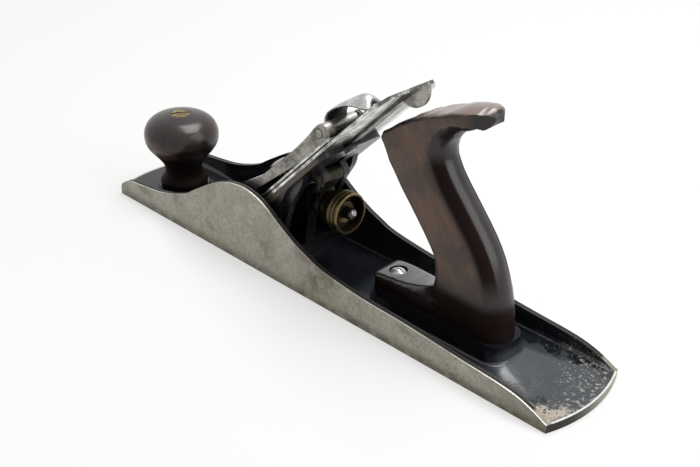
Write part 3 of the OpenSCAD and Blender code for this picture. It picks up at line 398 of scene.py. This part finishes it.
def stud_steel():
    f = Finish("stud_steel", Metallic=0.9)
    back, out = round_nut(f)
    wear = f.cloud(1.2, 4, 0.65)
    # The domed end of the stud is painted pale grey: a painted highlight.
    end = f.both(f.between(f.facing(NUT_WAY), 0.2, 0.9), f.between(out, 3.4, 1.5))
    shaft = f.blend(wear, (0.012, 0.011, 0.01), (0.07, 0.065, 0.058))
    f.wear(
        colour=f.blend(end, shaft, (0.34, 0.34, 0.34)),
        roughness=f.level(end, 0.4, 0.16),
    )
    f.relief((wear, 0.2, 0.08))
    return f


dress("adjusting_stud", stud_steel(), edge=0.5, segments=3)


def aged_brass(name, polish, turned=False):
    f = Finish(name, Metallic=0.95)
    tarnish = f.between(f.cloud(3.2, 6, 0.66), 0.3, 0.6)
    fresh_and_highlight = f.blend(f.cloud(1.2, 4), (0.3, 0.2, 0.075), (0.6, 0.45, 0.2))
    old = f.blend(f.cloud(2.1, 4), (0.022, 0.017, 0.01), (0.075, 0.056, 0.029))
    bright = f.both(f.less(f.both(tarnish, 0.7)), polish)
    if turned:
        back, out = round_nut(f)
        # On the turned nut, bright brass is painted along the crest of the rim, in a ring on the front face and
        # on the lower side of the hub: painted highlights and a painted reflection.
        crest_highlight = f.both(f.between(out, 12.0, 12.5), 0.22)
        rim = f.both(f.between(back, -0.7, -0.3), f.between(out, 11.2, 11.8))
        hub_reflection = f.both(f.between(out, 7.4, 6.6), f.both(f.between(f.z, 42, 38), f.between(f.cloud(7, 2), 0.4, 0.5)))
        lit = f.either(f.either(crest_highlight, f.both(rim, 0.8)), f.both(hub_reflection, 0.95))
        bright = f.both(lit, f.less(f.both(tarnish, 0.45)))
    f.wear(
        colour=f.blend(bright, old, fresh_and_highlight),
        roughness=f.level(bright, 0.42, 0.22),
    )
    f.relief((f.cloud(1.4, 4), 0.22, 0.08))
    return f


dress("adjusting_nut", aged_brass("turned_brass", 0.3, True), edge=0.18)
YOKE_IRON = aged_steel("yoke_iron", (0.014, 0.012, 0.009), (0.075, 0.068, 0.054), 0.44)
dress("yoke", YOKE_IRON, edge=0.3)
RUSTY_STEEL = aged_steel("rusty_steel", (0.1, 0.055, 0.03), (0.23, 0.15, 0.095), 0.5)
dress("yoke_pin", RUSTY_STEEL, edge=0.15)

# Lateral adjustment
# A flat steel lever is riveted through the frog near its top. A half-round thumb piece stands on
# its rear end, and a steel roller on its front end works in the slot of the plane iron.
BAR_STEEL = aged_steel("bar_steel", (0.03, 0.028, 0.024), (0.2, 0.195, 0.18), 0.34, (0.05, 1, 1), BED_TURN, 0.6)
dress("lateral_lever", BAR_STEEL, edge=0.25)
THUMB_STEEL = aged_steel("thumb_steel", (0.16, 0.15, 0.13), (0.55, 0.54, 0.49), 0.34, (1, 0.2, 1))
dress("lateral_thumb_piece", THUMB_STEEL, edge=0.3)
dress("lateral_rivet", SCREW_STEEL, edge=0.15)
dress("lateral_roller", SCREW_STEEL, edge=0.1)

# Double iron
# The hardened plane iron lies bevel down on the frog, and the cap iron is screwed to its upper
# face with its curved toe close behind the cutting edge. Both are ground bright.
IRON_STEEL = aged_steel(
    "iron_steel", (0.2, 0.195, 0.18), (0.78, 0.775, 0.75), 0.2, (0.03, 1, 1), BED_TURN, 0.8, True
)
dress("plane_iron", IRON_STEEL, edge=0.12)
dress("cap_iron", IRON_STEEL, edge=0.15)
dress("cap_iron_screw", SCREW_STEEL, edge=0.15)

# Lever cap
# A hollow iron casting that clamps the irons under one bright screw. The cam lever on its top
# end turns on a steel pin and bears on a flat spring riveted to the underside of the cap.


CAM_PIN = (2.22, 0, 95.96)


def worn_iron(name, dark, pale, rough, under=0.0, ring=False):
    f = Finish(name, Metallic=0.88)
    brushed = f.cloud(0.9, 4, 0.66)
    cloudy = f.cloud(7, 6, 0.66)
    tone = f.math("ADD", f.both(brushed, 0.35), f.both(cloudy, 0.65))
    speck = f.between(f.cloud(1.1, 5, 0.72), 0.58, 0.68)
    metal = f.blend(f.between(tone, 0.36, 0.64), dark, pale)
    metal = f.blend(f.both(speck, 0.6), metal, (0.07, 0.06, 0.05))
    shade = f.both(f.between(f.facing(BED_OUT), 0.25, -0.35), under)
    metal = f.blend(shade, metal, (0.028, 0.024, 0.02))
    if ring:
        reach = f.away(CAM_PIN)
        out = f.math("SQRT", f.math("SUBTRACT", f.both(reach, reach), f.both(f.y, f.y)))
        groove = f.both(f.between(out, 2.2, 2.5), f.between(out, 3.3, 2.9))
        metal = f.blend(f.both(groove, 0.75), metal, (0.05, 0.045, 0.038))
    f.wear(
        colour=metal,
        roughness=f.between(cloudy, 0.3, 0.7, rough + 0.1, rough - 0.08),
    )
    f.relief((brushed, 0.15, 0.05), (f.cloud(5, 3), 0.22, 0.2))
    return f


CAP_IRON_SKIN = worn_iron("lever_cap_iron", (0.15, 0.14, 0.12), (0.46, 0.45, 0.41), 0.34, 0.6, True)
dress("lever_cap", CAP_IRON_SKIN, edge=0.45, segments=3)
dress("lever_cap_screw", THUMB_STEEL, edge=0.2)


# The cam lever's plate from its barrel to its tip: place of its crown along and out from the bed,
# thickness, half width, and how far its long edges droop
CAM_PLATE = (
    (121.6, 9.5, 3.4, 8.6, 0), (121.9, 13.5, 3.2, 8.6, 0.2), (123.0, 16.8, 2.9, 8.5, 0.5),
    (125.5, 19.2, 2.6, 8.3, 0.8), (128.8, 20.4, 2.2, 8.0, 1.0), (132.5, 20.4, 1.9, 7.8, 1.2),
    (136.3, 19.8, 1.7, 7.6, 1.5), (140.4, 19.0, 1.6, 7.5, 2.0), (144.5, 18.1, 1.6, 7.5, 2.8),
    (148.0, 17.3, 1.6, 7.5, 4.0), (151.0, 16.4, 1.6, 7.5, 5.4), (153.6, 15.2, 1.5, 7.4, 6.5),
    (155.2, 13.6, 1.5, 6.9, 6.6), (156.1, 11.8, 1.4, 5.6, 5.6), (156.2, 10.1, 1.3, 3.6, 3.5),
    (155.6, 8.6, 1.2, 1.8, 1.6),
)
CAM_ACROSS = 12
BARREL_AT, BARREL_R, BARREL_HALF = (124.5, 11.2), 4.7, 11.1


def cam_lever():
    """The domed, hooked plate of the cam lever and the turned barrel it is cast in one with."""
    spots, faces = [], []
    crown = [Vector(section[:2]) for section in CAM_PLATE]
    for index, (up, out, thick, half, droop) in enumerate(CAM_PLATE):
        run = (crown[min(index + 1, len(crown) - 1)] - crown[max(index - 1, 0)]).normalized()
        inward = Vector((run.y, -run.x))
        shares = [2 * step / CAM_ACROSS - 1 for step in range(CAM_ACROSS + 1)]
        for side in (0, 1):
            for share in shares if side == 0 else reversed(shares):
                fall = Vector((-0.15, -0.99)) * droop * share * share
                spot = crown[index] + fall + inward * side * thick * (1 - 0.45 * share ** 6)
                spots.append(on_bed(spot.x, half * share * (1 - 0.04 * side), spot.y))
    around = 2 * (CAM_ACROSS + 1)
    for index in range(len(CAM_PLATE) - 1):
        for step in range(around):
            a, b = index * around + step, index * around + (step + 1) % around
            faces.append((a, b, b + around, a + around))
    faces.append(tuple(reversed(range(around))))
    faces.append(tuple(range((len(CAM_PLATE) - 1) * around, len(CAM_PLATE) * around)))
    first, turns = len(spots), 40
    barrel = ((-BARREL_HALF, 0.88), (-BARREL_HALF + 0.5, 1), (BARREL_HALF - 0.5, 1), (BARREL_HALF, 0.88))
    for across, share in barrel:
        for step in range(turns):
            angle = math.tau * step / turns
            reach = BARREL_R * share
            spots.append(on_bed(
                BARREL_AT[0] + reach * math.cos(angle), across, BARREL_AT[1] + reach * math.sin(angle)
            ))
    for ring in range(len(barrel) - 1):
        for step in range(turns):
            a, b = first + ring * turns + step, first + ring * turns + (step + 1) % turns
            faces.append((a, a + turns, b + turns, b))
    faces.append(tuple(range(first, first + turns)))
    faces.append(tuple(reversed(range(first + 3 * turns, first + 4 * turns))))
    mesh = bpy.data.meshes.new("hooked_cam_lever")
    mesh.from_pydata(spots, [], faces)
    mesh.update()
    lever = bpy.data.objects.new("hooked_cam_lever", mesh)
    bpy.context.scene.collection.objects.link(lever)
    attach(lever, "cam")
    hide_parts("cam_lever")
    return lever


CAM_SKIN = worn_iron("cam_iron", (0.33, 0.33, 0.32), (0.62, 0.62, 0.615), 0.28, 0.95)
dress_piece(cam_lever(), CAM_SKIN, edge=0.35)
dress("cam_pin", THUMB_STEEL, edge=0.2)
dress("lever_cap_spring", SCREW_STEEL, edge=0.08)
dress("spring_rivet", SCREW_STEEL, edge=0.05)

# Knob
# Turned rosewood with a low bead at its foot, held by a steel rod that is screwed into the bed
# and a slotted brass nut let into its top.
def rosewood(name, squeeze, turn, warm_share, dark_and_shade_share, top_shine):
    """Old polished rosewood, pale where it is rubbed and in painted reflections, nearly black where it is deep
    and in painted shade and painted dark reflections.
    """
    f = Finish(name, IOR=1.5, Coat_Roughness=0.22)
    streaks = f.cloud(6, 4, 0.62, squeeze, turn, 0.7)
    fine = f.cloud(0.8, 5, 0.7, squeeze, turn)
    pore_squeeze = (squeeze[0], squeeze[1], squeeze[2] * 0.4)
    pores = f.between(f.cloud(0.5, 3, 0.6, pore_squeeze, turn), 0.6, 0.7)
    cloudy = f.cloud(20, 5, 0.6)
    dark = f.blend(streaks, (0.005, 0.0042, 0.0045), (0.016, 0.0115, 0.0115))
    warm = f.blend(streaks, (0.05, 0.025, 0.015), (0.17, 0.088, 0.055))
    worn = f.both(warm_share(f), f.between(cloudy, 0.34, 0.6, 0.35, 1.0))
    dark_and_shade = dark_and_shade_share(f)
    top = f.between(f.facing((0, 0, 1)), 0.6, 0.9)
    wood = f.blend(worn, dark, warm)
    wood = f.blend(f.both(f.between(fine, 0.4, 0.7), 0.25), wood, (0.05, 0.024, 0.016))
    wood = f.blend(dark_and_shade, wood, f.blend(fine, (0.0035, 0.0022, 0.002), (0.014, 0.0055, 0.005)))
    f.wear(
        colour=f.blend(f.both(pores, 0.85), wood, (0.003, 0.002, 0.0018)),
        roughness=f.level(dark_and_shade, f.level(worn, 0.26, 0.44), 0.5),
        polish=f.level(dark_and_shade, f.level(top, 0.3, top_shine), 0.06),
        coat=f.level(dark_and_shade, f.level(top, 0.2, top_shine), 0.0),
    )
    f.relief((fine, 0.1, 0.1), (f.less(pores), 0.3, 0.08))
    return f


def knob_reflection(f):
    """One side of the knob is painted pale, a painted reflection, and its neck and foot stay dark."""
    patch = f.math("SUBTRACT", f.away(KNOB_REFLECTION_SPOT), f.both(f.cloud(9, 4), 6))
    return f.either(f.both(f.between(patch, 11, 5), 0.7), f.both(f.between(f.z, 34, 42), 0.07))


def knob_shade_and_foot(f):
    # The underside beside the painted reflection is painted near black, a painted shade, and the foot is darker
    # towards the bottom.
    under = f.both(f.between(f.facing((0, 0, -1)), 0.05, 0.3), f.between(f.away(KNOB_REFLECTION_SPOT), 9, 13))
    return f.either(f.both(under, 0.85), f.between(f.z, 37, 31))


KNOB_REFLECTION_SPOT = (-139, -14, 39)


KNOB_WOOD = rosewood("turned_rosewood", (1, 1, 0.25), (0, 0, 0), knob_reflection, knob_shade_and_foot, 0.3)
dress("knob", KNOB_WOOD, edge=0.2)
dress("knob_rod", SCREW_STEEL, edge=0.1)
KNOB_BRASS = aged_brass("rubbed_brass", 1.0)
dress("knob_nut", KNOB_BRASS, edge=0.15)

# Tote
# The rear handle, sawn from rosewood with the grain along the grip and rounded over where the
# hand lies. A long steel rod with a brass nut holds its back, and a short screw holds its toe.
GRIP_TURN = (0, math.radians(-28), 0)
TOTE_FRONT, TOTE_SEAT = 35.4, 15
# Where a hand and a rasp have changed the sawn outline: place along and above the seat, and by
# how much, in millimetres
REWORKED = (
    (0, 1, 0, 0), (25, 9.2, 0, 0), (43.9, 15.2, 0, 0), (46.3, 22.4, 0, 0), (45, 33, 0.4, 0),
    (41.2, 40, 0.5, 0), (30.9, 53.3, 0.3, 0), (20.3, 65.9, 0.6, 0), (9.8, 78.7, 1.9, 0),
    (4.1, 86.8, 3.6, 0.2), (3.2, 89.8, 3.0, 0.8), (5.6, 92.2, 2.0, 1.6), (16.1, 99.5, 0.3, 1.0),
    (23.5, 104.9, 0, 0.0), (31.9, 110.2, 0, -1.0), (41, 114.2, 0, -1.2), (52.6, 117.4, 0, -0.6),
    (62, 119.9, 0, -0.6), (67.6, 121.1, 0, -1.2), (70.4, 119.6, 0.4, -1.8), (69.2, 115.2, 0.4, -1.4),
    (62.6, 110.2, 0, 0.9), (54.1, 104.9, -0.8, 1.3), (47.4, 99.2, -0.8, 0.4), (44.8, 91.6, -0.5, 0),
    (46.9, 84.9, -0.3, 0), (63.6, 63.3, 0.1, 0), (72.5, 52.2, 0.3, 0), (79.2, 40.8, 0.6, 0),
    (84.8, 26.2, 0.8, 0), (87.7, 15, 0.5, 0), (89.6, 4, 0, 0),
)
HORN_FROM, HORN_TO, HALF_TOTE = 50, 71.8, 12
TOE_SCREW = 13.1


def smooth_share(value, low, high):
    share = min(1, max(0, (value - low) / (high - low)))
    return share * share * (3 - 2 * share)


def reworked(point):
    """Where a point of the sawn tote lies once its outline is reworked and its horn is rounded."""
    along, across, up = point.x / MM - TOTE_FRONT, point.y / MM, point.z / MM - TOTE_SEAT
    pull = [(1 / (0.2 + (along - a) ** 2 + (up - b) ** 2) ** 2, c, d) for a, b, c, d in REWORKED]
    total = sum(share for share, _, _ in pull)
    along += sum(share * c for share, c, _ in pull) / total
    up += sum(share * d for share, _, d in pull) / total
    half = HALF_TOTE
    if along > HORN_FROM and up > 100:
        half *= math.sqrt(max(0.05, 1 - ((along - HORN_FROM) / (HORN_TO - HORN_FROM)) ** 2))
        across = max(-half, min(half, across))
    crown = smooth_share(up, 112, 117.5) * smooth_share(along, 34, 56)
    up += 2.3 * crown * (1 - min(1, abs(across) / half) ** 2)
    leaf = smooth_share(along, 12, 44) * smooth_share(up, 3, 12) * smooth_share(17 - up, 0, 2)
    if along < 46 and up < 17:
        across *= 1 - 0.45 * leaf
    from_screw = math.hypot(along - TOE_SCREW, across)
    if up > 3 and 4 < from_screw < 5.2:
        across *= 1.13
        along = TOE_SCREW + (along - TOE_SCREW) * 1.13
    return ((along + TOTE_FRONT) * MM, across * MM, (up + TOTE_SEAT) * MM)


def sliced(mesh, cuts):
    """Cuts the faces between two heights across at even planes, so that they bend smoothly."""
    solid = bmesh.new()
    solid.from_mesh(mesh)
    for axis, start, end, step, low, high in cuts:
        normal = Vector([axis == side for side in range(3)])
        for index in range(int((end - start) / step) + 1):
            spot = normal * (start + index * step) * MM
            faces = [face for face in solid.faces if low < face.calc_center_bounds().z / MM < high]
            edges = {edge for face in faces for edge in face.edges}
            corners = {corner for face in faces for corner in face.verts}
            cut = [*corners, *edges, *faces]
            bmesh.ops.bisect_plane(solid, geom=cut, dist=1e-7, plane_co=spot, plane_no=normal)
    solid.to_mesh(mesh)
    solid.free()


def shaped_tote():
    mesh = nodes["tote"].data.copy()
    mesh.name = "shaped_tote"
    mesh.materials.clear()
    whole, foot, horn = (0, 140), (14, 32.5), (114.5, 140)
    sliced(mesh, (
        (2, 114.5, 115, 1, *whole), (2, 32.5, 33, 1, *whole),
        (2, 17.3, 31, 2.7, *foot), (0, 47.5, 82, 2.6, *foot),
        (2, 117.5, 134, 3, *horn), (0, 70, 107, 2.1, *horn), (1, -9, 10, 3, *horn),
    ))
    for vertex in mesh.vertices:
        vertex.co = reworked(vertex.co)
    tote = bpy.data.objects.new("shaped_tote", mesh)
    bpy.context.scene.collection.objects.link(tote)
    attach(tote, "plane_body")
    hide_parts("tote")
    return tote


def tote_wear(f):
    """The flat cheeks are rubbed pale; the rounded edges, which carry a painted dark reflection, and the foot
    stay dark.
    """
    flat = f.between(f.math("ABSOLUTE", f.facing((0, 1, 0))), 0.9, 0.995)
    top = f.both(f.between(f.facing((0, 0, 1)), 0.55, 0.85), f.between(f.z, 118, 126))
    front = f.between(f.facing((-0.91, 0, -0.42)), 0.55, 0.9)
    foot = f.between(f.z, 30, 52)
    return f.either(f.either(f.both(f.both(flat, foot), 0.9), f.both(top, 1.6)), f.both(front, 0.35))


def tote_shade_reflection_and_foot(f):
    """The long dark streak on the rounded rear edge of each flat cheek, a painted dark reflection, the painted
    shade under the horn, and the foot, which no hand has rubbed.
    """
    turned = f.math("ABSOLUTE", f.facing((0, 1, 0)))
    dark_reflection = f.both(f.between(turned, 0.93, 0.84), f.between(turned, 0.34, 0.46))
    rear = f.between(f.facing((0.88, 0, 0.2)), 0.05, 0.2)
    tall = f.both(f.between(f.z, 38, 52), f.between(f.z, 108, 99))
    under_horn_shade = f.both(f.between(turned, 0.97, 0.85), f.both(f.between(f.z, 112, 116), f.between(f.facing((0, 0, -1)), 0.2, 0.5)))
    base = f.both(f.between(f.z, 38, 30), f.less(f.between(f.facing((0, 0, 1)), 0.6, 0.8)))
    return f.either(f.either(f.both(f.both(dark_reflection, rear), tall), f.both(under_horn_shade, 0.7)), base)


TOTE_WOOD = rosewood("shaped_rosewood", (1, 1, 0.2), GRIP_TURN, tote_wear, tote_shade_reflection_and_foot, 0.85)
dress_piece(shaped_tote(), TOTE_WOOD, edge=0.25)
dress("tote_rod", SCREW_STEEL, edge=0.1)
dress("tote_nut", KNOB_BRASS, edge=0.15)


def domed_toe_screw():
    """The toe screw as it shows: its slotted head broad, domed and nearly flush with the wood."""
    mesh = nodes["tote_toe_screw"].data.copy()
    mesh.name = "domed_toe_screw"
    mesh.materials.clear()
    axis = TOTE_FRONT + TOE_SCREW
    for vertex in mesh.vertices:
        along, across, up = vertex.co.x / MM - axis, vertex.co.y / MM, vertex.co.z / MM
        head = smooth_share(up, 19, 21)
        spread = 1 + 0.22 * head
        out = math.hypot(along, across) * spread
        up += head * (1.5 - 0.035 * out * out)
        vertex.co = ((axis + along * spread) * MM, across * spread * MM, up * MM)
    screw = bpy.data.objects.new("domed_toe_screw", mesh)
    bpy.context.scene.collection.objects.link(screw)
    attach(screw, "plane_body")
    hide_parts("tote_toe_screw")
    return screw


TOE_STEEL = aged_steel("toe_screw_steel", (0.4, 0.4, 0.41), (0.78, 0.78, 0.8), 0.34)
dress_piece(domed_toe_screw(), TOE_STEEL, edge=0.12)

# Table, lights and camera
# White paper under a large soft light from above and behind, seen from the heel end.


def seen_rays(tree):
    """Whether a ray comes from the camera, a gloss or a glass, which all see the white room."""
    rays = tree.nodes.new("ShaderNodeLightPath")
    seen = rays.outputs["Is Camera Ray"]
    for kind in ("Is Glossy Ray", "Is Transmission Ray"):
        either = tree.nodes.new("ShaderNodeMath")
        either.operation = "MAXIMUM"
        tree.links.new(seen, either.inputs[0])
        tree.links.new(rays.outputs[kind], either.inputs[1])
        seen = either.outputs[0]
    return seen


def paper():
    material = bpy.data.materials.new("white_paper")
    material.use_nodes = True
    tree = material.node_tree
    tree.nodes.clear()
    made = {
        kind: tree.nodes.new(kind)
        for kind in (
            "ShaderNodeBsdfDiffuse", "ShaderNodeEmission", "ShaderNodeMixShader",
            "ShaderNodeOutputMaterial",
        )
    }
    made["ShaderNodeBsdfDiffuse"].inputs["Color"].default_value = (0.82, 0.82, 0.81, 1)
    made["ShaderNodeEmission"].inputs["Color"].default_value = (0.9, 0.905, 0.895, 1)
    link = tree.links.new
    share = tree.nodes.new("ShaderNodeMath")
    share.operation = "MULTIPLY"
    share.inputs[1].default_value = 0.66
    link(seen_rays(tree), share.inputs[0])
    link(share.outputs[0], made["ShaderNodeMixShader"].inputs[0])
    link(made["ShaderNodeBsdfDiffuse"].outputs[0], made["ShaderNodeMixShader"].inputs[1])
    link(made["ShaderNodeEmission"].outputs[0], made["ShaderNodeMixShader"].inputs[2])
    link(made["ShaderNodeMixShader"].outputs[0], made["ShaderNodeOutputMaterial"].inputs[0])
    return material


FLOOR_REACH = 6
floor_mesh = bpy.data.meshes.new("paper_floor")
corners = [(x * FLOOR_REACH, y * FLOOR_REACH, 0) for x, y in ((-1, -1), (1, -1), (1, 1), (-1, 1))]
floor_mesh.from_pydata(corners, [], [(0, 1, 2, 3)])
floor_mesh.materials.append(paper())
floor = bpy.data.objects.new("paper_floor", floor_mesh)
bpy.context.scene.collection.objects.link(floor)


def soft_light(name, place, aim, width, depth, watts):
    lamp = bpy.data.lights.new(name, "AREA")
    lamp.shape = "RECTANGLE"
    lamp.size, lamp.size_y, lamp.energy = width, depth, watts
    made = bpy.data.objects.new(name, lamp)
    made.location = place
    made.rotation_euler = (Vector(aim) - Vector(place)).to_track_quat("-Z", "Y").to_euler()
    bpy.context.scene.collection.objects.link(made)


soft_light("overhead_light", (0.15, 0.45, 1.5), (0, 0, 0), 1.3, 0.9, 26)
soft_light("side_light", (1.3, 0.35, 0.75), (0, 0, 0.05), 1.0, 1.0, 8)

world = bpy.data.worlds.new("white_room")
bpy.context.scene.world = world
world.use_nodes = True
room = world.node_tree
sky = room.nodes["Background"]
sky.inputs["Color"].default_value = (1, 1, 1, 1)
strength = room.nodes.new("ShaderNodeMix")
strength.inputs[2].default_value = 0.45
strength.inputs[3].default_value = 0.93
room.links.new(seen_rays(room), strength.inputs[0])
room.links.new(strength.outputs[0], sky.inputs["Strength"])

CAMERA_AT = Vector((0.3635, -0.3719, 0.3239))
CAMERA_AIM = Vector((-0.026427, 0.039257, 0))
CAMERA_ROLL = math.radians(1.212)
camera_data = bpy.data.cameras.new("camera")
camera_data.sensor_width = 36
camera_data.lens = 53.01
camera_data.clip_start, camera_data.clip_end = 0.01, 50
camera = bpy.data.objects.new("camera", camera_data)
ahead = (CAMERA_AIM - CAMERA_AT).normalized()
right = ahead.cross(Vector((0, 0, 1))).normalized()
up = right.cross(ahead)
right, up = (
    right * math.cos(CAMERA_ROLL) + up * math.sin(CAMERA_ROLL),
    up * math.cos(CAMERA_ROLL) - right * math.sin(CAMERA_ROLL),
)
camera.matrix_world = Matrix.Translation(CAMERA_AT) @ Matrix((right, up, -ahead)).transposed().to_4x4()
bpy.context.scene.collection.objects.link(camera)
bpy.context.scene.camera = camera
bpy.context.scene.view_settings.view_transform = "Standard"
